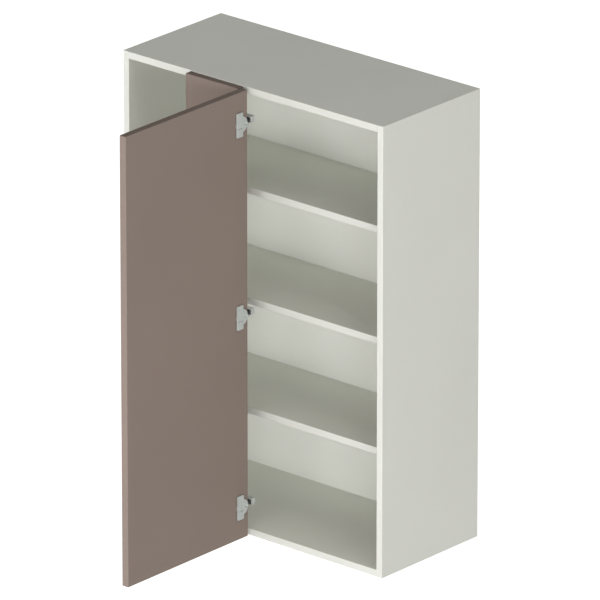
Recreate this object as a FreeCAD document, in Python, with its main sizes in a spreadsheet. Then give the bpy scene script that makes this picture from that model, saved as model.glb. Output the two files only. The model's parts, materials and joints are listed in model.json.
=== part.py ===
import FreeCAD, Part
import os
import re

import Sketcher

# Blind corner wall cabinet, in millimetres.
# X runs to the right as seen from the front, Y towards the wall, Z up.
# The origin is on the wall plane, at the middle of the cabinet's lower rear edge.
# The door is drawn open at a right angle.

Vector = FreeCAD.Vector
doc = FreeCAD.newDocument("blind_corner_wall_cabinet")
sheet = doc.addObject("Spreadsheet::Sheet", "sizes")

SIZES = {
    # carcass
    "cab_width": 750,
    "cab_height": 1050,
    "cab_depth": 324,
    "board": 16,
    "edge_round": 0.8,
    # back panel in its groove, with the hanging space behind it
    "rear_void": 16,
    "back_thick": 3,
    "groove_depth": 8,
    "groove_play": 0.2,
    # shelves
    "shelf_thick": 16,
    "shelf_setback": 56,
    "shelf_side_gap": 0.5,
    "shelf_rear_gap": 1,
    # shelf support pegs
    "peg_radius": 2.5,
    "peg_depth": 10,
    "peg_play": 0.05,
    "peg_head_length": 9,
    "peg_head_width": 8,
    "peg_head_height": 6,
    "peg_inset": 40,
    # corner dowels
    "dowel_radius": 4,
    "dowel_length": 30,
    "dowel_in_side": 11,
    "dowel_inset": 42,
    "dowel_play": 0.05,
    "dowel_end_play": 1,
    # blind front panel and door
    "blind_offset": 198,
    "filler_width": 152,
    "filler_thick": 18,
    "reveal": 2,
    "door_thick": 18,
    "open_set": 9.7,
    "front_round": 1.5,
    # angle brackets of the blind front panel
    "bracket_leg": 25,
    "bracket_width": 30,
    "bracket_thick": 2,
    "bracket_inset": 26,
    "bracket_hole_pitch": 16,
    "wood_screw_radius": 1.75,
    "wood_screw_bite": 12,
    "wood_screw_head_radius": 3.5,
    "wood_screw_head": 1.6,
    "screw_play": 0.05,
    "drive_length": 3.6,
    "drive_width": 0.9,
    "drive_depth": 0.8,
    # hinge cup in the door
    "hinge_inset": 75,
    "cup_radius": 17.4,
    "cup_play": 0.1,
    "cup_setback": 20.5,
    "cup_depth": 12,
    "cup_wall": 0.8,
    "flange_thick": 1,
    "flange_width": 20,
    "flange_height": 56,
    "flange_behind": 6,
    "flange_round": 2.5,
    "rim_radius": 18.3,
    "cap_thick": 1.5,
    "cap_slot_length": 12,
    "cap_slot_width": 2.6,
    "cap_slot_depth": 0.9,
    "cap_slot_drop": 8,
    "mouth_width": 5.4,
    "mouth_reach": 12.5,
    "mouth_depth": 2,
    "cup_screw_pitch": 48,
    "cup_screw_head_radius": 3.3,
    # hinge link, from the pin in the cup to its tail in the arm
    "pin_radius": 1.2,
    "pin_play": 0.05,
    "pin_depth": 2.2,
    "pin_inset": 7.2,
    "pin_end_gap": 0.4,
    "link_width": 2.2,
    "link_height": 4.4,
    "link_eye_radius": 2.4,
    "lip_gap": 0.6,
    "elbow_rise": 1,
    "tail_reach": 10,
    "tail_rise": 8.5,
    "neck_step": 1,
    "neck_rise": 1,
    # hinge arm and its liner
    "arm_reach": 16,
    "arm_length": 80,
    "arm_height": 13.4,
    "arm_depth": 14,
    "arm_wall": 1.2,
    "arm_play": 0.1,
    "tip_notch": 2.2,
    "liner_length": 36,
    "liner_wall": 0.8,
    "liner_front_step": 1,
    # mounting plate behind the blind front panel
    "plate_base": 4,
    "plate_length": 36,
    "plate_end_gap": 2,
    "plate_height": 18,
    "wing_height": 48,
    "wing_width": 16,
    "wing_thick": 2.5,
    "rail_height": 10,
    "rail_depth": 9,
    "plate_screw_pitch": 32,
    "plate_screw_radius": 2.5,
    "plate_screw_bite": 11,
    "plate_screw_head_radius": 4.2,
    "plate_screw_head": 1.5,
    "arm_screw_radius": 2.4,
    "arm_screw_pitch": 18,
    "arm_screw_bite": 5,
    "arm_screw_head_radius": 4,
    "arm_screw_head": 2,
    # cabinet hangers behind the back panel
    "hanger_drop": 9,
    "hanger_height": 70,
    "hanger_width": 40,
    "hanger_sheet": 2,
    "hanger_flange": 12,
    "hook_width": 30,
    "hook_inset": 8,
    "hook_plate": 2.5,
    "hook_height": 47,
    "hook_above": 10,
    "hook_reach": 10.5,
    "hook_lip": 15,
    "hook_play": 0.2,
    "hook_foot_edge": 1,
    "lug_width": 14,
    "lug_thick": 4,
    "hook_screw_radius": 2.5,
    "hook_screw_stroke": 12,
    "hook_screw_head_radius": 4,
    "hook_screw_head": 4,
    # caps over the hangers' access holes
    "access_radius": 6,
    "access_play": 0.1,
    "access_drop": 95,
    "cover_radius": 8,
    "cover_thick": 1.5,
    "cover_plug": 2.5,
}

for row, (alias, number) in enumerate(SIZES.items(), start=1):
    sheet.set(f"A{row}", alias.replace("_", " "))
    sheet.set(f"B{row}", str(number))
    sheet.setAlias(f"B{row}", alias)
doc.recompute()

# Places worked out from the sizes
INNER_WIDTH = "(cab_width - 2 * board)"
LEFT_INNER = "(-cab_width / 2 + board)"
FRONT = "(-cab_depth)"
BACK_FACE = "(-rear_void - back_thick)"
FILLER_RIGHT = "(-cab_width / 2 + blind_offset + filler_width)"
FRONT_HEIGHT = "(cab_height - 2 * reveal)"
DOOR_WIDTH = "(cab_width - blind_offset - filler_width - 2 * reveal)"
DOOR_INNER = f"({FILLER_RIGHT} + reveal + door_thick)"
HINGE_EDGE = f"({FRONT} - open_set)"
CUP_CENTRE = f"({HINGE_EDGE} - cup_setback)"
FLANGE_CENTRE = f"({CUP_CENTRE} - flange_behind)"
PIVOT_X = f"({DOOR_INNER} - pin_depth)"
PIVOT_Y = f"({HINGE_EDGE} - pin_inset)"
ARM_TIP = f"({FILLER_RIGHT} + arm_reach)"
ARM_FRONT = f"({FRONT} + plate_base)"
ARM_BACK = f"({ARM_FRONT} + arm_depth)"
PLATE_LEFT = f"({ARM_TIP} - arm_length + plate_end_gap)"
PLATE_MIDDLE = f"({PLATE_LEFT} + plate_length / 2)"
HANGER_SCREW_DEPTH = f"({BACK_FACE} + back_thick + hanger_flange / 2)"
BRACKET_SCREW_DEPTH = f"({FRONT} + bracket_leg / 2 + bracket_thick / 2)"
BRACKET_SCREW_DROP = "(board + bracket_leg / 2 + bracket_thick / 2)"
SHELF_GAP = "((cab_height - 2 * board - 3 * shelf_thick) / 4)"
HINGE_HEIGHTS = {
    "lower": "(reveal + hinge_inset)",
    "middle": "(cab_height / 2)",
    "upper": "(cab_height - reveal - hinge_inset)",
}
SHELVES = ("lower", "middle", "upper")
SIDES = {"left": -1, "right": 1}
TURNS = {
    "X": FreeCAD.Rotation(Vector(0, 1, 0), 90),
    "Y": FreeCAD.Rotation(Vector(1, 0, 0), -90),
    "Z": FreeCAD.Rotation(),
}
WORD = re.compile(r"[A-Za-z_]\w*")
nodes = {}


def cell(alias):
    """A size as the sheet holds it."""
    return float(sheet.get(alias))


def bind(thing, name, formula):
    """Ties a property to a formula of sheet sizes."""
    text = WORD.sub(lambda word: f"sizes.{word[0]}" if word[0] in SIZES else word[0], formula)
    thing.setExpression(name, text)


def place(thing, x, y, z):
    """Ties an object's position to three formulas."""
    for axis, formula in zip("xyz", (x, y, z)):
        bind(thing, f"Placement.Base.{axis}", formula)


def node(label, thing):
    """Names an object as a finished piece."""
    thing.Label = label
    nodes[label] = thing
    return thing


def box(size, corner):
    """A block, from its three sizes and its lowest corner."""
    block = doc.addObject("Part::Box", "block")
    for name, formula in zip(("Length", "Width", "Height"), size):
        bind(block, name, formula)
    place(block, *corner)
    return block


def rod(radius, length, start, axis):
    """A cylinder that starts at a point and runs along an axis."""
    bar = doc.addObject("Part::Cylinder", "rod")
    bind(bar, "Radius", radius)
    bind(bar, "Height", length)
    bar.Placement = FreeCAD.Placement(Vector(), TURNS[axis])
    place(bar, *start)
    return bar


def fuse(*things):
    """One solid from several that meet."""
    whole = doc.addObject("Part::MultiFuse", "fuse")
    whole.Shapes = list(things)
    whole.Refine = True
    return whole


def cut(base, *tools):
    """A solid with tools taken out of it."""
    rest = doc.addObject("Part::Cut", "cut")
    rest.Base = base
    rest.Tool = tools[0] if len(tools) == 1 else fuse(*tools)
    rest.Refine = True
    return rest


def group(things):
    """Several separate solids in one piece of hardware."""
    several = doc.addObject("Part::Compound", "group")
    several.Links = list(things)
    return several


def along(axis, seat, outward, start, length):
    """Lowest point of a stretch that starts at a distance from a seat and runs outwards along an axis."""
    point = list(seat)
    place_on_axis = "XYZ".index(axis)
    if outward > 0:
        point[place_on_axis] = f"{seat[place_on_axis]} + ({start})"
    else:
        point[place_on_axis] = f"{seat[place_on_axis]} - ({start}) - ({length})"
    return point


def screw(axis, outward, seat, radius, bite, head_radius, head):
    """A screw: its shank goes in from the seat, and its head with a cross recess stands out from it."""
    shank = rod(radius, bite, along(axis, seat, outward, f"-({bite})", bite), axis)
    cap = rod(head_radius, head, along(axis, seat, outward, "0", head), axis)
    floor = along(axis, seat, outward, f"{head} - drive_depth", "drive_depth")
    slots = []
    for long_way in "XYZ".replace(axis, ""):
        size = {"X": "drive_width", "Y": "drive_width", "Z": "drive_width"}
        size[long_way] = "drive_length"
        size[axis] = "drive_depth"
        corner = [
            low if name == axis else f"{low} - {size[name]} / 2"
            for name, low in zip("XYZ", floor)
        ]
        slots.append(box([size[name] for name in "XYZ"], corner))
    return cut(fuse(shank, cap), *slots)


def rectangle(body, plane, x, y, width, height):
    """A rectangle sketched on one of the body's own planes."""
    sketch = body.newObject("Sketcher::SketchObject", "outline")
    role = next(part for part in body.Origin.OriginFeatures if part.Role == plane)
    sketch.AttachmentSupport = [(role, "")]
    sketch.MapMode = "FlatFace"
    corners = [Vector(0, 0, 0), Vector(10, 0, 0), Vector(10, 10, 0), Vector(0, 10, 0)]
    for index in range(4):
        sketch.addGeometry(Part.LineSegment(corners[index], corners[(index + 1) % 4]), False)
    for index in range(4):
        sketch.addConstraint(Sketcher.Constraint("Coincident", index, 2, (index + 1) % 4, 1))
    for index in (0, 2):
        sketch.addConstraint(Sketcher.Constraint("Horizontal", index))
    for index in (1, 3):
        sketch.addConstraint(Sketcher.Constraint("Vertical", index))
    measures = [
        (Sketcher.Constraint("DistanceX", -1, 1, 0, 1, 1.0), x),
        (Sketcher.Constraint("DistanceY", -1, 1, 0, 1, 1.0), y),
        (Sketcher.Constraint("DistanceX", 0, 1, 0, 2, 10.0), width),
        (Sketcher.Constraint("DistanceY", 1, 1, 1, 2, 10.0), height),
    ]
    for constraint, formula in measures:
        number = sketch.addConstraint(constraint)
        bind(sketch, f"Constraints[{number}]", formula)
    return sketch


def board_body(name, plane, width, height, thick, reverse=False):
    """A board padded from a rectangle that starts at the body's origin."""
    body = doc.addObject("PartDesign::Body", name)
    pad = body.newObject("PartDesign::Pad", "pad")
    pad.Profile = rectangle(body, plane, "0", "0", width, height)
    bind(pad, "Length", thick)
    pad.Reversed = reverse
    body.Tip = pad
    doc.recompute()
    return body


def groove(body, plane, x, y, width, height, reverse):
    """A groove sunk into the board from one of its own planes."""
    before = body.Shape.Volume
    pocket = body.newObject("PartDesign::Pocket", "groove")
    pocket.Profile = rectangle(body, plane, x, y, width, height)
    bind(pocket, "Length", "groove_depth")
    pocket.Reversed = reverse
    body.Tip = pocket
    doc.recompute()
    if body.Shape.Volume > before - 1:
        raise RuntimeError(f"{body.Name}: the groove cuts nothing")


def round_front(body):
    """Rounds the banded edges round the board's front face, which lies at the body's own y = 0."""
    base = body.Tip
    names = []
    for index, edge in enumerate(base.Shape.Edges, start=1):
        if edge.BoundBox.YMax < 1e-6:
            names.append(f"Edge{index}")
    fillet = body.newObject("PartDesign::Fillet", "edge_band")
    fillet.Base = (base, names)
    bind(fillet, "Radius", "edge_round")
    body.Tip = fillet
    doc.recompute()


def round_all(body):
    """Rounds every edge of a lacquered front."""
    base = body.Tip
    fillet = body.newObject("PartDesign::Fillet", "round_edges")
    fillet.Base = (base, [])
    fillet.UseAllEdges = True
    bind(fillet, "Radius", "front_round")
    body.Tip = fillet
    doc.recompute()


def inward(side, distance, length):
    """Lowest x of a piece that starts at a distance inside a side panel and has a length along x."""
    if side < 0:
        return f"{LEFT_INNER} + {distance}"
    return f"cab_width / 2 - board - ({distance}) - ({length})"


# Shelves

def shelf_top(word):
    """Height of a shelf's upper face."""
    steps = SHELVES.index(word) + 1
    return f"(board + {steps} * ({SHELF_GAP} + shelf_thick))"


def peg_places():
    """Depth and height of each row of pegs."""
    front = f"({FRONT} + shelf_setback + peg_inset)"
    rear = f"({BACK_FACE} - shelf_rear_gap - peg_inset)"
    for word in SHELVES:
        for depth in (front, rear):
            yield depth, f"({shelf_top(word)} - shelf_thick - peg_head_height / 2)"


def make_shelves():
    for word in SHELVES:
        depth = "cab_depth - shelf_setback - rear_void - back_thick - shelf_rear_gap"
        body = board_body("shelf_board", "XY_Plane", f"{INNER_WIDTH} - 2 * shelf_side_gap", depth,
                          "shelf_thick", reverse=True)
        round_front(body)
        place(body, f"{LEFT_INNER} + shelf_side_gap", f"{FRONT} + shelf_setback", shelf_top(word))
        node(f"shelf_{word}", body)


def make_pegs():
    pegs = []
    for depth, height in peg_places():
        for side in SIDES.values():
            start = inward(side, "-peg_depth", "peg_depth")
            stem = rod("peg_radius", "peg_depth", (start, depth, height), "X")
            head = box(
                ("peg_head_length", "peg_head_width", "peg_head_height"),
                (inward(side, "0", "peg_head_length"), f"{depth} - peg_head_width / 2",
                 f"{height} - peg_head_height / 2"),
            )
            pegs.append(fuse(stem, head))
    node("shelf_support_pegs", group(pegs))


# Carcass boards

def dowel_places():
    """Depth and height of each dowel on one side."""
    depths = (f"({FRONT} + dowel_inset)", f"({FRONT} / 2)", f"({BACK_FACE} - dowel_inset)")
    for height in ("(board / 2)", "(cab_height - board / 2)"):
        for depth in depths:
            yield depth, height


def dowel_rods(side, radius, in_side, length):
    return [
        rod(radius, length, (inward(side, f"-({in_side})", length), depth, height), "X")
        for depth, height in dowel_places()
    ]


def dowel_holes(side):
    """Bores that take one side's dowels, with room at both ends."""
    return dowel_rods(side, "dowel_radius + dowel_play", "dowel_in_side + dowel_end_play",
                      "dowel_length + 2 * dowel_end_play")


def hanger_screw_places():
    """Height of each hanger fixing screw."""
    top = "(cab_height - board - hanger_drop)"
    for share in (0.12, 0.5, 0.88):
        yield f"({top} - hanger_height * {share})"


def hanger_screw_rods(side, radius, length, distance):
    return [
        rod(radius, length, (inward(side, distance, length), HANGER_SCREW_DEPTH, height), "X")
        for height in hanger_screw_places()
    ]


def make_sides():
    for word, side in SIDES.items():
        body = board_body(f"{word}_board", "YZ_Plane", "cab_depth", "cab_height", "board",
                          reverse=side < 0)
        groove(
            body, "YZ_Plane", "cab_depth - rear_void - back_thick - groove_play / 2", "board - groove_depth",
            "back_thick + groove_play", "cab_height - 2 * (board - groove_depth)", reverse=side > 0,
        )
        round_front(body)
        place(body, f"{side} * (cab_width / 2 - board)", FRONT, "0")
        holes = dowel_holes(side)
        holes += hanger_screw_rods(side, "wood_screw_radius + screw_play", "wood_screw_bite",
                                   "-wood_screw_bite")
        for depth, height in peg_places():
            start = inward(side, "-(peg_depth + peg_play)", "peg_depth + peg_play")
            holes.append(rod("peg_radius + peg_play", "peg_depth + peg_play", (start, depth, height), "X"))
        node(f"{word}_side_panel", cut(body, *holes))


def bracket_screw_places():
    """Centre x of each bracket screw, and whether its bracket is at the top."""
    left = f"({FILLER_RIGHT} - filler_width + bracket_inset)"
    right = f"({FILLER_RIGHT} - bracket_inset)"
    for centre in (left, right):
        for top in (True, False):
            for offset in ("-bracket_hole_pitch / 2", "bracket_hole_pitch / 2"):
                yield f"({centre} + {offset})", top


def upright_screw_holes(length, top_start, bottom_start):
    """Holes of the bracket screws that stand upright, for the top and bottom panels."""
    return [
        rod("wood_screw_radius + screw_play", length,
            (x, BRACKET_SCREW_DEPTH, top_start if top else bottom_start), "Z")
        for x, top in bracket_screw_places()
    ]


def level_screw_height(top):
    """Height of the bracket screws that lie level, at the top or at the bottom."""
    return f"cab_height - {BRACKET_SCREW_DROP}" if top else BRACKET_SCREW_DROP


def level_screw_holes(length, start):
    """Holes of the bracket screws that lie level, for the blind front panel."""
    return [
        rod("wood_screw_radius + screw_play", length, (x, start, level_screw_height(top)), "Y")
        for x, top in bracket_screw_places()
    ]


def make_top_and_bottom():
    groove_start = "cab_depth - rear_void - back_thick - groove_play / 2"
    for word, top in (("top", True), ("bottom", False)):
        body = board_body(f"{word}_board", "XY_Plane", INNER_WIDTH, "cab_depth", "board", reverse=not top)
        groove(body, "XY_Plane", "0", groove_start, INNER_WIDTH, "back_thick + groove_play", reverse=top)
        round_front(body)
        place(body, LEFT_INNER, FRONT, "cab_height - board" if top else "board")
        holes = dowel_holes(-1) + dowel_holes(1)
        holes += upright_screw_holes("wood_screw_bite", "cab_height - board", "board - wood_screw_bite")
        node(f"{word}_panel", cut(body, *holes))


def make_dowels():
    dowels = []
    for side in SIDES.values():
        dowels += dowel_rods(side, "dowel_radius", "dowel_in_side", "dowel_length")
    node("carcass_dowels", group(dowels))


def access_place(side):
    """Centre of a hanger's access hole in the back panel."""
    x = f"{side} * (cab_width / 2 - board - hook_inset - hook_width / 2)"
    return x, "cab_height - board - access_drop"


def make_back():
    reach = "(groove_depth - groove_play / 2)"
    body = board_body("back_board", "XZ_Plane", f"{INNER_WIDTH} + 2 * {reach}",
                      f"cab_height - 2 * board + 2 * {reach}", "back_thick", reverse=True)
    place(body, f"{LEFT_INNER} - {reach}", BACK_FACE, f"board - {reach}")
    holes = []
    covers = []
    for side in SIDES.values():
        x, z = access_place(side)
        holes.append(rod("access_radius + access_play", "back_thick", (x, BACK_FACE, z), "Y"))
        plug = rod("access_radius", "cover_plug", (x, BACK_FACE, z), "Y")
        disc = rod("cover_radius", "cover_thick", (x, f"{BACK_FACE} - cover_thick", z), "Y")
        covers.append(fuse(plug, disc))
    node("back_panel", cut(body, *holes))
    node("hanger_access_caps", group(covers))


# Blind front panel and its brackets

def make_blind_front():
    body = board_body("blind_front", "XZ_Plane", "filler_width", FRONT_HEIGHT, "filler_thick")
    round_all(body)
    place(body, f"{FILLER_RIGHT} - filler_width", FRONT, "reveal")
    holes = level_screw_holes("wood_screw_bite", f"{FRONT} - wood_screw_bite")
    for height in HINGE_HEIGHTS.values():
        holes += plate_screw_rods(height, "plate_screw_radius + screw_play", "plate_screw_bite",
                                  f"{FRONT} - plate_screw_bite")
    node("blind_front_panel", cut(body, *holes))


def make_brackets():
    brackets = []
    for centre in (f"{FILLER_RIGHT} - filler_width + bracket_inset", f"{FILLER_RIGHT} - bracket_inset"):
        left = f"{centre} - bracket_width / 2"
        for top in (True, False):
            leg_base = "cab_height - board - bracket_leg" if top else "board"
            flat_base = "cab_height - board - bracket_thick" if top else "board"
            upright = box(("bracket_width", "bracket_thick", "bracket_leg"), (left, FRONT, leg_base))
            flat = box(("bracket_width", "bracket_leg", "bracket_thick"), (left, FRONT, flat_base))
            brackets.append(fuse(upright, flat))
    holes = upright_screw_holes("bracket_thick", "cab_height - board - bracket_thick", "board")
    holes += level_screw_holes("bracket_thick", FRONT)
    whole = group(brackets)
    node("blind_panel_brackets", cut(whole, *holes))


def make_bracket_screws():
    shank = "(wood_screw_bite + bracket_thick)"
    screws = []
    for x, top in bracket_screw_places():
        under = "cab_height - board - bracket_thick" if top else "board + bracket_thick"
        seat = (x, BRACKET_SCREW_DEPTH, under)
        screws.append(screw("Z", -1 if top else 1, seat, "wood_screw_radius", shank,
                            "wood_screw_head_radius", "wood_screw_head"))
        seat = (x, f"{FRONT} + bracket_thick", level_screw_height(top))
        screws.append(screw("Y", 1, seat, "wood_screw_radius", shank,
                            "wood_screw_head_radius", "wood_screw_head"))
    node("blind_panel_screws", group(screws))


# Door

def make_door():
    body = board_body("door_board", "YZ_Plane", DOOR_WIDTH, FRONT_HEIGHT, "door_thick", reverse=True)
    round_all(body)
    place(body, DOOR_INNER, f"{HINGE_EDGE} - {DOOR_WIDTH}", "reveal")
    depth = "(cup_depth + cup_play)"
    bores = []
    for height in HINGE_HEIGHTS.values():
        start = (f"{DOOR_INNER} - {depth}", CUP_CENTRE, height)
        bores.append(rod("cup_radius + cup_play", depth, start, "X"))
        bores += cup_screw_rods(height, "wood_screw_radius + screw_play", "wood_screw_bite",
                                "-wood_screw_bite")
    node("door_panel", cut(body, *bores))


# Hinge cups, their caps, pins and screws

def cup_screw_rods(height, radius, length, rise):
    """Pair of rods on the flange's screw line, starting at a rise from the door's inner face."""
    x = f"{DOOR_INNER} + {rise}"
    return [
        rod(radius, length, (x, FLANGE_CENTRE, f"{height} + {turn} * cup_screw_pitch / 2"), "X")
        for turn in (-1, 1)
    ]


def flange_plate(height, rise, thick):
    """The plate outline with its round rim, on the door's inner face."""
    x = f"{DOOR_INNER} + {rise}"
    low_y = f"({FLANGE_CENTRE} - flange_width / 2)"
    low_z = f"({height} - flange_height / 2)"
    parts = [
        box((thick, "flange_width", "flange_height - 2 * flange_round"),
            (x, low_y, f"{low_z} + flange_round")),
        box((thick, "flange_width - 2 * flange_round", "flange_height"),
            (x, f"{low_y} + flange_round", low_z)),
        rod("rim_radius", thick, (x, CUP_CENTRE, height), "X"),
    ]
    for y in ("flange_round", "flange_width - flange_round"):
        for z in ("flange_round", "flange_height - flange_round"):
            parts.append(rod("flange_round", thick, (x, f"{low_y} + {y}", f"{low_z} + {z}"), "X"))
    rim_keep = box(
        (thick, "rim_radius + flange_behind + flange_width / 2", "flange_height"),
        (x, low_y, low_z),
    )
    outline = doc.addObject("Part::Common", "outline")
    outline.Base = fuse(*parts)
    outline.Tool = rim_keep
    outline.Refine = True
    return outline


def mouth(height, depth, rise):
    """The opening at the hinge edge that lets the link out of the cup."""
    return box(
        (f"{depth} + {rise}", "mouth_reach", "mouth_width"),
        (f"{DOOR_INNER} - {depth}", f"{HINGE_EDGE} - mouth_reach", f"{height} - mouth_width / 2"),
    )


def make_cups():
    screws = []
    pins = []
    for word, height in HINGE_HEIGHTS.items():
        shell = rod("cup_radius", "cup_depth", (f"{DOOR_INNER} - cup_depth", CUP_CENTRE, height), "X")
        hollow = rod("cup_radius - cup_wall", "cup_depth - cup_wall + flange_thick",
                     (f"{DOOR_INNER} - cup_depth + cup_wall", CUP_CENTRE, height), "X")
        cup = fuse(shell, flange_plate(height, "0", "flange_thick"))
        seats = cup_screw_rods(height, "cup_screw_head_radius + screw_play", "flange_thick", "0")
        span = "sqrt(cup_radius^2 - (cup_setback - pin_inset + pin_radius)^2)"
        half = f"({span} - pin_end_gap)"
        bore = rod("pin_radius + pin_play", f"2 * ({half} + pin_play)",
                   (PIVOT_X, PIVOT_Y, f"{height} - {half} - pin_play"), "Z")
        edge_mouth = mouth(height, "mouth_depth", "flange_thick")
        node(f"hinge_cup_{word}", cut(cup, hollow, edge_mouth, bore, *seats))
        pins.append(rod("pin_radius", f"2 * {half}", (PIVOT_X, PIVOT_Y, f"{height} - {half}"), "Z"))

        slot = box(
            ("cap_slot_depth", "cap_slot_length", "cap_slot_width"),
            (f"{DOOR_INNER} + flange_thick + cap_thick - cap_slot_depth",
             f"{FLANGE_CENTRE} - cap_slot_length / 2",
             f"{height} - cap_slot_drop - cap_slot_width / 2"),
        )
        cap = flange_plate(height, "flange_thick", "cap_thick")
        node(f"hinge_cup_cap_{word}", cut(cap, slot, mouth(height, "0", "flange_thick + cap_thick")))

        for turn in (-1, 1):
            seat = (DOOR_INNER, FLANGE_CENTRE, f"{height} + {turn} * cup_screw_pitch / 2")
            screws.append(screw("X", 1, seat, "wood_screw_radius", "wood_screw_bite",
                                "cup_screw_head_radius", "flange_thick"))
    node("hinge_cup_screws", group(screws))
    node("hinge_cup_pins", group(pins))


# Hinge links

def link_shape():
    """The curved link about its pin in the cup: round the door's edge and into the arm."""
    pin_x = cell("reveal") + cell("door_thick") - cell("pin_depth")
    pin_y = cell("open_set") + cell("pin_inset")
    half = cell("link_width") / 2
    elbow_x = cell("pin_depth") + cell("lip_gap") + half
    tail = Vector(cell("tail_reach") - pin_x, cell("tail_rise") + pin_y, 0)
    path = [
        tail,
        Vector(tail.x + cell("neck_step"), pin_y + cell("neck_rise"), 0),
        Vector(elbow_x, cell("pin_inset") + cell("elbow_rise"), 0),
        Vector(elbow_x, cell("link_eye_radius"), 0),
        Vector(),
    ]
    rise = Vector(0, 0, cell("link_height"))
    outline = Part.makePolygon(path).makeOffset2D(half, 0, False, False)
    shape = Part.Face(outline).extrude(rise)
    for centre in (path[0], path[-1]):
        shape = shape.fuse(Part.makeCylinder(cell("link_eye_radius"), rise.z, centre))
    for centre in (path[0], path[-1]):
        shape = shape.cut(Part.makeCylinder(cell("pin_radius") + cell("pin_play"), rise.z, centre))
    return shape.removeSplitter()


def make_links():
    pins = []
    for word, height in HINGE_HEIGHTS.items():
        link = doc.addObject("Part::Feature", "link")
        link.Shape = link_shape()
        place(link, PIVOT_X, PIVOT_Y, f"{height} - link_height / 2")
        node(f"hinge_link_{word}", link)
        half = "(arm_height / 2 - arm_wall - arm_play - liner_wall - pin_end_gap)"
        start = (f"{FILLER_RIGHT} + tail_reach", f"{FRONT} + tail_rise", f"{height} - {half}")
        pins.append(rod("pin_radius", f"2 * {half}", start, "Z"))
    node("hinge_link_pins", group(pins))


# Hinge arms, liners and mounting plates

def arm_screw_rods(height, radius, length, start):
    return [
        rod(radius, length, (f"{PLATE_MIDDLE} + {turn} * arm_screw_pitch / 2", start, height), "Y")
        for turn in (-1, 1)
    ]


def make_arms():
    liners = []
    screws = []
    for word, height in HINGE_HEIGHTS.items():
        left = f"({ARM_TIP} - arm_length)"
        half = "(arm_height / 2)"
        shell = box(("arm_length", "arm_depth", "arm_height"), (left, ARM_FRONT, f"{height} - {half}"))
        channel = box(
            ("arm_length - arm_wall", "arm_depth - arm_wall", "arm_height - 2 * arm_wall"),
            (left, ARM_FRONT, f"{height} - {half} + arm_wall"),
        )
        notch = box(
            ("arm_wall", "tip_notch", "arm_height - 2 * arm_wall"),
            (f"{ARM_TIP} - arm_wall", ARM_FRONT, f"{height} - {half} + arm_wall"),
        )
        holes = arm_screw_rods(height, "arm_screw_radius + screw_play", "arm_wall",
                               f"{ARM_BACK} - arm_wall")
        node(f"hinge_arm_{word}", cut(shell, channel, notch, *holes))

        play = "(arm_wall + arm_play)"
        liner_left = f"({ARM_TIP} - {play} - liner_length)"
        liner_depth = f"(arm_depth - liner_front_step - {play})"
        liner_height = f"(arm_height - 2 * {play})"
        liner_front = f"({ARM_FRONT} + liner_front_step)"
        sleeve = box(
            ("liner_length", liner_depth, liner_height),
            (liner_left, liner_front, f"{height} - {liner_height} / 2"),
        )
        inside = box(
            ("liner_length", f"{liner_depth} - liner_wall", f"{liner_height} - 2 * liner_wall"),
            (liner_left, liner_front, f"{height} - {liner_height} / 2 + liner_wall"),
        )
        liners.append(cut(sleeve, inside))

        for turn in (-1, 1):
            seat = (f"{PLATE_MIDDLE} + {turn} * arm_screw_pitch / 2", ARM_BACK, height)
            screws.append(screw("Y", 1, seat, "arm_screw_radius", "arm_depth - rail_depth + arm_screw_bite",
                                "arm_screw_head_radius", "arm_screw_head"))
    node("hinge_arm_liners", group(liners))
    node("hinge_arm_screws", group(screws))


def plate_screw_rods(height, radius, length, start):
    return [
        rod(radius, length, (PLATE_MIDDLE, start, f"{height} + {turn} * plate_screw_pitch / 2"), "Y")
        for turn in (-1, 1)
    ]


def make_plates():
    screws = []
    for word, height in HINGE_HEIGHTS.items():
        base = box(
            ("plate_length", "plate_base", "plate_height"),
            (PLATE_LEFT, FRONT, f"{height} - plate_height / 2"),
        )
        wing_span = "(wing_height - wing_width)"
        wings = [box(
            ("wing_width", "wing_thick", wing_span),
            (f"{PLATE_MIDDLE} - wing_width / 2", FRONT, f"{height} - {wing_span} / 2"),
        )]
        wings += plate_screw_rods(height, "wing_width / 2", "wing_thick", FRONT)
        rail = box(("plate_length", "rail_depth", "rail_height"),
                   (PLATE_LEFT, f"{FRONT} + plate_base", f"{height} - rail_height / 2"))
        holes = plate_screw_rods(height, "plate_screw_radius + screw_play", "wing_thick", FRONT)
        threads = arm_screw_rods(height, "arm_screw_radius + screw_play", "arm_screw_bite",
                                 f"{ARM_FRONT} + rail_depth - arm_screw_bite")
        node(f"hinge_mounting_plate_{word}", cut(fuse(base, *wings, rail), *holes, *threads))

        for turn in (-1, 1):
            seat = (PLATE_MIDDLE, f"{FRONT} + wing_thick", f"{height} + {turn} * plate_screw_pitch / 2")
            screws.append(screw("Y", 1, seat, "plate_screw_radius", "plate_screw_bite + wing_thick",
                                "plate_screw_head_radius", "plate_screw_head"))
    node("hinge_plate_screws", group(screws))


# Cabinet hangers

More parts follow.
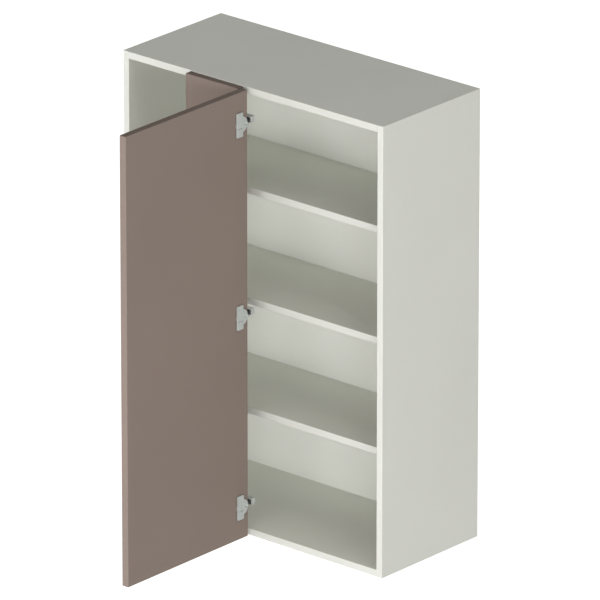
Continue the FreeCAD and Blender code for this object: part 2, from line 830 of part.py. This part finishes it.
def make_hangers():
    top = "(cab_height - board - hanger_drop)"
    bottom = f"({top} - hanger_height)"
    plate_y = f"({BACK_FACE} + back_thick)"
    hook_y = f"({plate_y} + hanger_sheet + hook_play)"
    hook_top = f"({top} - hook_above)"
    hook_bottom = f"({hook_top} - hook_height)"
    hook_middle = "(hook_inset + hook_width / 2)"
    screws = []
    for word, side in SIDES.items():
        flange = box(("hanger_sheet", "hanger_flange", "hanger_height"),
                     (inward(side, "0", "hanger_sheet"), plate_y, bottom))
        face = box(("hanger_width", "hanger_sheet", "hanger_height"),
                   (inward(side, "0", "hanger_width"), plate_y, bottom))
        lug = box(("lug_width", "hanger_flange", "lug_thick"),
                  (inward(side, f"{hook_middle} - lug_width / 2", "lug_width"), plate_y, bottom))
        screw_y = f"({hook_y} + hook_plate / 2 + hook_screw_radius)"
        middle_x = inward(side, hook_middle, "0")
        bore = rod("hook_screw_radius + screw_play", "lug_thick", (middle_x, screw_y, bottom), "Z")
        fixings = hanger_screw_rods(side, "wood_screw_radius + screw_play", "hanger_sheet", "0")
        node(f"hanger_housing_{word}", cut(fuse(flange, face, lug), bore, *fixings))

        hook_x = inward(side, "hook_inset", "hook_width")
        plate = box(("hook_width", "hook_plate", "hook_height"), (hook_x, hook_y, hook_bottom))
        bridge = box(("hook_width", "hook_reach", "hook_plate"),
                     (hook_x, hook_y, f"{hook_top} - hook_plate"))
        lip = box(("hook_width", "hook_plate", "hook_lip"),
                  (hook_x, f"{hook_y} + hook_reach - hook_plate", f"{hook_top} - hook_lip"))
        foot = box(("lug_width", "hook_plate / 2 + 2 * hook_screw_radius + hook_foot_edge", "hook_plate"),
                   (inward(side, f"{hook_middle} - lug_width / 2", "lug_width"), hook_y, hook_bottom))
        node(f"hanger_hook_{word}", fuse(plate, bridge, lip, foot))

        shank = f"({hook_bottom} - {bottom} + hook_screw_stroke)"
        seat = (middle_x, screw_y, f"{hook_bottom} - {shank}")
        node(f"hanger_height_screw_{word}", screw("Z", -1, seat, "hook_screw_radius", shank,
                                                  "hook_screw_head_radius", "hook_screw_head"))

        for height in hanger_screw_places():
            seat = (inward(side, "hanger_sheet", "0"), HANGER_SCREW_DEPTH, height)
            screws.append(screw("X", -side, seat, "wood_screw_radius", "wood_screw_bite + hanger_sheet",
                                "wood_screw_head_radius", "wood_screw_head"))
    node("hanger_fixing_screws", group(screws))


def write_parts():
    """Checks every object, then writes each piece to its own file."""
    doc.recompute()
    for thing in doc.Objects:
        if "Invalid" in thing.State or "Error" in thing.State:
            raise RuntimeError(f"{thing.Label}: {thing.State}")
    for label, thing in nodes.items():
        if thing.Shape.isNull() or not thing.Shape.isValid() or not thing.Shape.Solids:
            raise RuntimeError(f"{label}: no valid solid")
    os.makedirs("parts", exist_ok=True)
    for label, thing in nodes.items():
        thing.Shape.exportStep(f"parts/{label}.step")
        print(f"{label}: {len(thing.Shape.Solids)} solids, {thing.Shape.Volume / 1000:.2f} cm3")


def main():
    make_sides()
    make_top_and_bottom()
    make_back()
    make_dowels()
    make_shelves()
    make_pegs()
    make_blind_front()
    make_brackets()
    make_bracket_screws()
    make_door()
    make_cups()
    make_links()
    make_arms()
    make_plates()
    make_hangers()
    write_parts()


main()
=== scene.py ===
import json
import math

import bpy
from mathutils import Matrix, Vector

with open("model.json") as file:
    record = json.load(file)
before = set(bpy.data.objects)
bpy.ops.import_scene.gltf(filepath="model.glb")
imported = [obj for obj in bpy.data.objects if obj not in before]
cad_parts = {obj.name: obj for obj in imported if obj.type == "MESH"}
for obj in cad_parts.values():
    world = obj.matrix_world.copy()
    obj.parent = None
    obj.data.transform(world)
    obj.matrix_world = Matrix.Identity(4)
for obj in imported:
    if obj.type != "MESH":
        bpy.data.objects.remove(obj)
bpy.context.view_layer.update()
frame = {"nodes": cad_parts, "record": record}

# Looks of the blind corner wall cabinet, in metres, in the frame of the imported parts.
# X runs to the right, Y towards the wall, Z up.

nodes = frame["nodes"]

# Middle of the cabinet with its fronts, where the lamps and the camera aim
CENTRE = Vector((0.0, -0.174, 0.525))


# Colours

def linear(red, green, blue):
    """A colour written in screen values from 0 to 255, as a linear colour."""
    def one(value):
        share = value / 255.0
        if share <= 0.04045:
            return share / 12.92
        return ((share + 0.055) / 1.055) ** 2.4
    return (one(red), one(green), one(blue), 1.0)


BOARD = linear(231, 232, 225)
BOARD_WORN = linear(206, 203, 190)
TAUPE = linear(146, 132, 124)
# Painted shade: a darker taupe for the fronts' upward faces
TAUPE_PAINTED_TOP_SHADE = linear(123, 110, 103)
TAUPE_RUBBED = linear(170, 156, 147)
# Painted shade: a dark taupe for corners and places close to other pieces
TAUPE_PAINTED_CORNER_SHADE = linear(70, 61, 56)
NICKEL = linear(207, 212, 211)
NICKEL_STAIN = linear(186, 190, 189)
# Painted shade: dark steel for the part of the hinge links inside the arm
LINK_PAINTED_SHADE = linear(92, 92, 90)
ZINC_SHEET = linear(190, 194, 198)
ZINC_SHEET_STAIN = linear(160, 162, 160)
ZINC_SCREW = linear(186, 188, 186)
ZINC_SCREW_STAIN = linear(170, 165, 142)
METAL_EDGE = linear(225, 227, 225)
# Painted shade: a dark grey for recesses in the metal parts
METAL_PAINTED_RECESS_SHADE = linear(66, 68, 66)
BLACK_PLASTIC = linear(34, 32, 31)
WHITE_PLASTIC = linear(234, 234, 224)
BEECH_PALE = linear(205, 168, 124)
BEECH_DARK = linear(176, 134, 92)
BEECH_FLECK = linear(128, 88, 56)
FLOOR_PALE = linear(232, 232, 230)
PURE_WHITE = (1.0, 1.0, 1.0, 1.0)


# Shader building blocks

# Values between which most of a noise pattern lies, and between which it makes patches
NOISE_LOW, NOISE_HIGH = 0.3, 0.7
PATCH_LOW, PATCH_HIGH = 0.45, 0.7

# Cosines between the true and the rounded normal, on a flat face and on an edge
FLAT_COSINE, EDGE_COSINE = 0.995, 0.80

# Upward parts of the normal on a sloped face and on a level one
SLOPED, LEVEL = 0.7, 0.95

# Share of open sky deep in a recess
DEEP_LEVEL = 0.5

BEVEL_SAMPLES = 6
CREVICE_SAMPLES = 8


def feed(tree, socket, value):
    """Links a socket to another one, or sets any other value on it."""
    if isinstance(value, bpy.types.NodeSocket):
        tree.links.new(value, socket)
    else:
        socket.default_value = value


def shader(tree, kind, sockets=None, **settings):
    """Adds a shader node with its settings and what its sockets take."""
    made = tree.nodes.new(kind)
    for name, value in settings.items():
        setattr(made, name, value)
    for name, value in (sockets or {}).items():
        feed(tree, made.inputs[name], value)
    return made


def object_point(tree, stretch=(1.0, 1.0, 1.0)):
    """Position on the piece, in metres, stretched along its axes."""
    coordinates = shader(tree, "ShaderNodeTexCoord")
    mapping = shader(tree, "ShaderNodeMapping", {"Vector": coordinates.outputs["Object"], "Scale": stretch})
    return mapping.outputs["Vector"]


def noise(tree, point, scale, detail=2.0, roughness=0.5):
    """A cloudy pattern, around 0.5."""
    return shader(tree, "ShaderNodeTexNoise", {
        "Vector": point, "Scale": scale, "Detail": detail, "Roughness": roughness,
    }).outputs["Fac"]


def ranged(tree, value, low, high, new_low, new_high):
    """Maps a value from one range to another and holds it there."""
    return shader(tree, "ShaderNodeMapRange", {
        "Value": value, "From Min": low, "From Max": high, "To Min": new_low, "To Max": new_high,
    }).outputs["Result"]


def varied(tree, pattern, low, high):
    """Spreads a noise pattern over a range of values."""
    return ranged(tree, pattern, NOISE_LOW, NOISE_HIGH, low, high)


def patchy(tree, pattern, most):
    """0 over most of a noise pattern, rising to a value in its patches."""
    return ranged(tree, pattern, PATCH_LOW, PATCH_HIGH, 0.0, most)


def maths(tree, operation, first, second):
    """Joins two values by an operation."""
    made = shader(tree, "ShaderNodeMath", operation=operation)
    feed(tree, made.inputs[0], first)
    feed(tree, made.inputs[1], second)
    return made.outputs["Value"]


def mixed(tree, share, first, second):
    """Mixes two colours."""
    made = shader(tree, "ShaderNodeMix", data_type="RGBA")
    for name, value in (("Factor_Float", share), ("A_Color", first), ("B_Color", second)):
        feed(tree, next(s for s in made.inputs if s.identifier == name), value)
    return next(s for s in made.outputs if s.identifier == "Result_Color")


def scaled(tree, colour, factor):
    """Multiplies a colour by a value."""
    grey = shader(tree, "ShaderNodeCombineXYZ", {"X": factor, "Y": factor, "Z": factor}).outputs["Vector"]
    return shader(tree, "ShaderNodeVectorMath", {0: colour[:3], 1: grey}, operation="MULTIPLY").outputs["Vector"]


def true_normal(tree):
    return shader(tree, "ShaderNodeNewGeometry").outputs["True Normal"]


def soft_normal(tree, radius):
    """Normal that runs round each sharp edge."""
    return shader(tree, "ShaderNodeBevel", {"Radius": radius}, samples=BEVEL_SAMPLES).outputs["Normal"]


def edge_share(tree, radius):
    """0 on flat faces, rising to 1 on the edges."""
    along = shader(tree, "ShaderNodeVectorMath", {0: soft_normal(tree, radius), 1: true_normal(tree)},
                   operation="DOT_PRODUCT")
    return ranged(tree, along.outputs["Value"], FLAT_COSINE, EDGE_COSINE, 0.0, 1.0)


def top_share(tree):
    """1 on faces that look straight up, and 0 on upright ones."""
    upward = shader(tree, "ShaderNodeSeparateXYZ", {"Vector": true_normal(tree)}).outputs["Z"]
    return ranged(tree, upward, SLOPED, LEVEL, 0.0, 1.0)


def crevice(tree, distance, open_level=0.85, own=True):
    """1 deep in narrow recesses of the piece, or in corners with other pieces too, and 0 on its open faces."""
    light = shader(tree, "ShaderNodeAmbientOcclusion", {"Distance": distance},
                   samples=CREVICE_SAMPLES, only_local=own)
    return ranged(tree, light.outputs["AO"], DEEP_LEVEL, open_level, 1.0, 0.0)


def bumped(tree, height, distance, radius):
    """Normal of a fine relief, rounded at the edges."""
    return shader(tree, "ShaderNodeBump", {
        "Height": height, "Distance": distance, "Strength": 1.0, "Normal": soft_normal(tree, radius),
    }).outputs["Normal"]


def new_material(name):
    """An empty material and its shader tree."""
    material = bpy.data.materials.new(name)
    material.use_nodes = True
    material.node_tree.nodes.clear()
    return material, material.node_tree


def close_material(tree, sockets):
    """Ends a material with one surface."""
    surface = shader(tree, "ShaderNodeBsdfPrincipled", sockets)
    shader(tree, "ShaderNodeOutputMaterial", {"Surface": surface.outputs["BSDF"]})


# Materials

def coated_board():
    """Warm white coated board: a fine pearl grain, slightly cloudy gloss and banded edges."""
    material, tree = new_material("white_board")
    point = object_point(tree)
    cloud = noise(tree, point, scale=4.0, detail=3.0)
    pearl = noise(tree, point, scale=1500.0, detail=2.0, roughness=0.6)
    handling = noise(tree, point, scale=11.0, detail=4.0, roughness=0.6)
    edges = edge_share(tree, radius=0.0012)
    face = scaled(tree, BOARD, varied(tree, cloud, 0.982, 1.012))
    worn = maths(tree, "MULTIPLY", edges, patchy(tree, handling, most=0.35))
    gloss = varied(tree, handling, 0.52, 0.64)
    close_material(tree, {
        "Base Color": mixed(tree, worn, face, BOARD_WORN),
        "Roughness": maths(tree, "ADD", gloss, maths(tree, "MULTIPLY", edges, 0.08)),
        "Specular IOR Level": 0.07,
        "Normal": bumped(tree, pearl, distance=0.00003, radius=0.0006),
    })
    return material


def taupe_lacquer():
    """Matt taupe lacquer: spray texture, cloudy gloss, painted shade on upward faces, rubbed arrises and painted
    shade in corners.
    """
    material, tree = new_material("taupe_lacquer")
    point = object_point(tree)
    cloud = noise(tree, point, scale=3.0, detail=3.0)
    spray = noise(tree, point, scale=420.0, detail=3.0, roughness=0.6)
    wiped = noise(tree, object_point(tree, (1.0, 1.0, 0.25)), scale=16.0, detail=4.0, roughness=0.65)
    edges = edge_share(tree, radius=0.0010)
    front = scaled(tree, TAUPE, varied(tree, cloud, 0.97, 1.02))
    # Painted shade: upward faces turn to a darker taupe
    face = mixed(tree, top_share(tree), front, TAUPE_PAINTED_TOP_SHADE)
    worn = maths(tree, "MULTIPLY", edges, patchy(tree, wiped, most=0.4))
    rubbed = mixed(tree, worn, face, TAUPE_RUBBED)
    # Painted shade: the taupe darkens within 10 mm of corners and nearby pieces
    corners = crevice(tree, distance=0.010, open_level=0.95, own=False)
    close_material(tree, {
        "Base Color": mixed(tree, maths(tree, "MULTIPLY", corners, 0.8), rubbed, TAUPE_PAINTED_CORNER_SHADE),
        "Roughness": varied(tree, wiped, 0.54, 0.68),
        "Specular IOR Level": 0.03,
        "Normal": bumped(tree, spray, distance=0.00004, radius=0.0006),
    })
    return material


def brush_marks(tree, stretch):
    """Fine marks drawn out along one axis."""
    return noise(tree, object_point(tree, stretch), scale=900.0, detail=3.0, roughness=0.6)


def plating_cloud(tree):
    return noise(tree, object_point(tree), scale=60.0, detail=3.0, roughness=0.6)


def brushed_metal(name, colour, stain, stretch, gloss_low, gloss_high, metal=1.0):
    """Plated metal: fine brush marks along one axis, cloudy gloss, brighter edges and painted shade in recesses.
    """
    material, tree = new_material(name)
    brush = brush_marks(tree, stretch)
    cloud = plating_cloud(tree)
    edges = edge_share(tree, radius=0.0006)
    tone = varied(tree, cloud, 0.9, 1.05)
    stained = ranged(tree, cloud, 0.5, 0.75, 0.0, 0.5)
    dull = mixed(tree, stained, scaled(tree, colour, tone), stain)
    bright = mixed(tree, maths(tree, "MULTIPLY", edges, 0.5), dull, METAL_EDGE)
    # Painted shade: the metal darkens deep in its own recesses
    recess = crevice(tree, distance=0.002)
    gloss = varied(tree, brush, gloss_low, gloss_high)
    close_material(tree, {
        "Base Color": mixed(tree, maths(tree, "MULTIPLY", recess, 0.9), bright, METAL_PAINTED_RECESS_SHADE),
        "Metallic": metal,
        "Roughness": maths(tree, "ADD", gloss, maths(tree, "MULTIPLY", cloud, 0.06)),
        "Normal": bumped(tree, brush, distance=0.00001, radius=0.0004),
    })
    return material


# Depths at which the painted shade on the hinge links begins and covers them
LINK_SHADE_START = -0.3360
LINK_SHADE_END = -0.3335


def link_steel():
    """Hinge link: nickel plated at its eye in the door's cup, and painted dark as shade from the door's edge on,
    where it runs into the arm.
    """
    material, tree = new_material("link_steel")
    depth = shader(tree, "ShaderNodeSeparateXYZ", {"Vector": object_point(tree)}).outputs["Y"]
    # Painted shade: the link turns dark from the door's edge on
    painted_shade_share = ranged(tree, depth, LINK_SHADE_START, LINK_SHADE_END, 0.0, 1.0)
    brush = brush_marks(tree, (1.0, 0.1, 1.0))
    tone = varied(tree, plating_cloud(tree), 0.9, 1.05)
    close_material(tree, {
        "Base Color": mixed(tree, painted_shade_share, scaled(tree, NICKEL, tone), scaled(tree, LINK_PAINTED_SHADE, tone)),
        "Metallic": ranged(tree, painted_shade_share, 0.0, 1.0, 0.2, 0.6),
        "Roughness": varied(tree, brush, 0.46, 0.58),
        "Normal": bumped(tree, brush, distance=0.00001, radius=0.0004),
    })
    return material


def moulded_plastic(name, colour, gloss):
    """Moulded plastic with a fine eroded grain and paler edges."""
    material, tree = new_material(name)
    point = object_point(tree)
    erosion = noise(tree, point, scale=1400.0, detail=3.0, roughness=0.6)
    cloud = noise(tree, point, scale=90.0)
    edges = edge_share(tree, radius=0.0005)
    face = scaled(tree, colour, varied(tree, cloud, 0.9, 1.1))
    pale = tuple(min(1.0, value * 1.6 + 0.01) for value in colour[:3]) + (1.0,)
    close_material(tree, {
        "Base Color": mixed(tree, maths(tree, "MULTIPLY", edges, 0.35), face, pale),
        "Roughness": varied(tree, erosion, gloss - 0.05, gloss + 0.08),
        "Normal": bumped(tree, erosion, distance=0.00003, radius=0.0003),
    })
    return material


def beech_wood():
    """Raw beech for the dowels: grain along the dowel with short dark flecks."""
    material, tree = new_material("beech")
    grain = noise(tree, object_point(tree, (0.12, 1.0, 1.0)), scale=700.0, detail=4.0, roughness=0.6)
    fleck = noise(tree, object_point(tree, (0.3, 1.0, 1.0)), scale=1600.0)
    rings = ranged(tree, grain, 0.35, 0.65, 0.0, 1.0)
    flecked = ranged(tree, fleck, 0.62, 0.72, 0.0, 0.6)
    close_material(tree, {
        "Base Color": mixed(tree, flecked, mixed(tree, rings, BEECH_PALE, BEECH_DARK), BEECH_FLECK),
        "Roughness": 0.7,
        "Normal": bumped(tree, grain, distance=0.00005, radius=0.0004),
    })
    return material


MATERIALS = {
    "white_board": coated_board(),
    "taupe_lacquer": taupe_lacquer(),
    "hinge_nickel": brushed_metal("hinge_nickel", NICKEL, NICKEL_STAIN, stretch=(1.0, 1.0, 0.06),
                                  gloss_low=0.36, gloss_high=0.46, metal=0.2),
    "link_steel": link_steel(),
    "zinc_sheet": brushed_metal("zinc_sheet", ZINC_SHEET, ZINC_SHEET_STAIN, stretch=(0.08, 1.0, 1.0),
                                gloss_low=0.34, gloss_high=0.48),
    "zinc_screw": brushed_metal("zinc_screw", ZINC_SCREW, ZINC_SCREW_STAIN, stretch=(1.0, 1.0, 1.0),
                                gloss_low=0.28, gloss_high=0.42),
    "black_plastic": moulded_plastic("black_plastic", BLACK_PLASTIC, gloss=0.55),
    "white_plastic": moulded_plastic("white_plastic", WHITE_PLASTIC, gloss=0.42),
    "beech": beech_wood(),
}


def dress_parts():
    """Gives each part the material of its slot."""
    for part in frame["record"]["subparts"]:
        mesh = nodes[part["node"]].data
        mesh.materials.clear()
        mesh.materials.append(MATERIALS[part["material_slot"]])


# Floor and light

FLOOR_SIZE = 60.0
FLOOR_HEIGHT = -0.6
FLOOR_GLOW = 0.75
WORLD_LEVEL = 0.2

WHITE = (1.0, 1.0, 1.0)
WARM = (1.0, 0.99, 0.93)

# name: place, width and height, power in watts, colour
LAMPS = {
    "front_lamp": ((0.3, -9.0, 0.6), (7.0, 3.5), 97.0, WHITE),
    "front_left_lamp": ((-1.9, -8.7, 0.6), (3.4, 3.5), 62.0, WHITE),
    "front_middle_lamp": ((0.8, -4.0, 1.0), (2.5, 1.0), 31.0, WHITE),
    "left_lamp": ((-1.4, -2.0, 0.3), (1.0, 1.0), 13.0, WHITE),
    "right_front_lamp": ((6.0, -6.0, 0.6), (4.0, 4.0), 287.0, WHITE),
    "right_lamp": ((8.0, -1.0, 0.6), (4.0, 4.0), 36.0, WHITE),
    "high_right_lamp": ((5.0, -2.0, 6.5), (3.0, 3.0), 86.0, WARM),
    "top_lamp": ((0.0, -1.0, 8.0), (4.0, 4.0), 46.0, WARM),
    "rear_lamp": ((-2.0, 7.0, 0.6), (4.0, 4.0), 220.0, WHITE),
}


def seen_directly(tree):
    """1 for what the camera, a mirror or glass sees, and 0 for light that falls on other surfaces."""
    path = shader(tree, "ShaderNodeLightPath")
    mirrored = maths(tree, "MAXIMUM", path.outputs["Is Glossy Ray"], path.outputs["Is Transmission Ray"])
    return maths(tree, "MAXIMUM", path.outputs["Is Camera Ray"], mirrored)


def make_floor():
    """A pale floor well below the hung cabinet. It looks white in the light and keeps a soft shadow."""
    bpy.ops.mesh.primitive_plane_add(size=FLOOR_SIZE, location=(0.0, 0.0, FLOOR_HEIGHT))
    floor = bpy.context.object
    floor.name = "floor"
    material, tree = new_material("floor")
    matt = shader(tree, "ShaderNodeBsdfDiffuse", {"Color": FLOOR_PALE})
    glow = shader(tree, "ShaderNodeEmission", {
        "Color": PURE_WHITE, "Strength": maths(tree, "MULTIPLY", seen_directly(tree), FLOOR_GLOW),
    })
    both = shader(tree, "ShaderNodeAddShader", {0: matt.outputs["BSDF"], 1: glow.outputs["Emission"]})
    shader(tree, "ShaderNodeOutputMaterial", {"Surface": both.outputs["Shader"]})
    floor.data.materials.append(material)


def make_lamps():
    """Wide lamps that aim at the cabinet. The camera doesn't see them."""
    for name, (place, (width, height), power, colour) in LAMPS.items():
        data = bpy.data.lights.new(name, "AREA")
        data.shape = "RECTANGLE"
        data.size = width
        data.size_y = height
        data.energy = power
        data.color = colour
        lamp = bpy.data.objects.new(name, data)
        lamp.location = place
        lamp.rotation_euler = (CENTRE - Vector(place)).to_track_quat("-Z", "Y").to_euler()
        lamp.visible_camera = False
        bpy.context.scene.collection.objects.link(lamp)


def make_world():
    """Even soft light from all round, with white where the camera looks past the floor."""
    world = bpy.data.worlds.new("studio")
    world.use_nodes = True
    tree = world.node_tree
    tree.nodes.clear()
    level = ranged(tree, seen_directly(tree), 0.0, 1.0, WORLD_LEVEL, 1.0)
    sky = shader(tree, "ShaderNodeBackground", {"Color": PURE_WHITE, "Strength": level})
    shader(tree, "ShaderNodeOutputWorld", {"Surface": sky.outputs["Background"]})
    bpy.context.scene.world = world


# Camera: the viewing angle of the photograph, found from the cabinet's edges

AZIMUTH = math.radians(40.976)
ELEVATION = math.radians(20.979)
DISTANCE = 23.694
LENS = 646.75
SENSOR_WIDTH = 36.0
CLIP_END = 200.0
AIM_RIGHT = 0.00599
AIM_UP = -0.01020


def make_camera():
    """The photograph's camera."""
    right = Vector((math.cos(AZIMUTH), math.sin(AZIMUTH), 0.0))
    back = Vector((
        math.sin(AZIMUTH) * math.cos(ELEVATION),
        -math.cos(AZIMUTH) * math.cos(ELEVATION),
        math.sin(ELEVATION),
    ))
    up = back.cross(right)
    place = CENTRE + right * AIM_RIGHT + up * AIM_UP + back * DISTANCE
    data = bpy.data.cameras.new("photo_camera")
    data.lens = LENS
    data.sensor_width = SENSOR_WIDTH
    data.clip_end = CLIP_END
    camera = bpy.data.objects.new("photo_camera", data)
    turn = Matrix((right, up, back)).transposed()
    camera.matrix_world = Matrix.Translation(place) @ turn.to_4x4()
    bpy.context.scene.collection.objects.link(camera)
    bpy.context.scene.camera = camera


dress_parts()
make_floor()
make_lamps()
make_world()
make_camera()
bpy.context.scene.view_settings.view_transform = "Standard"
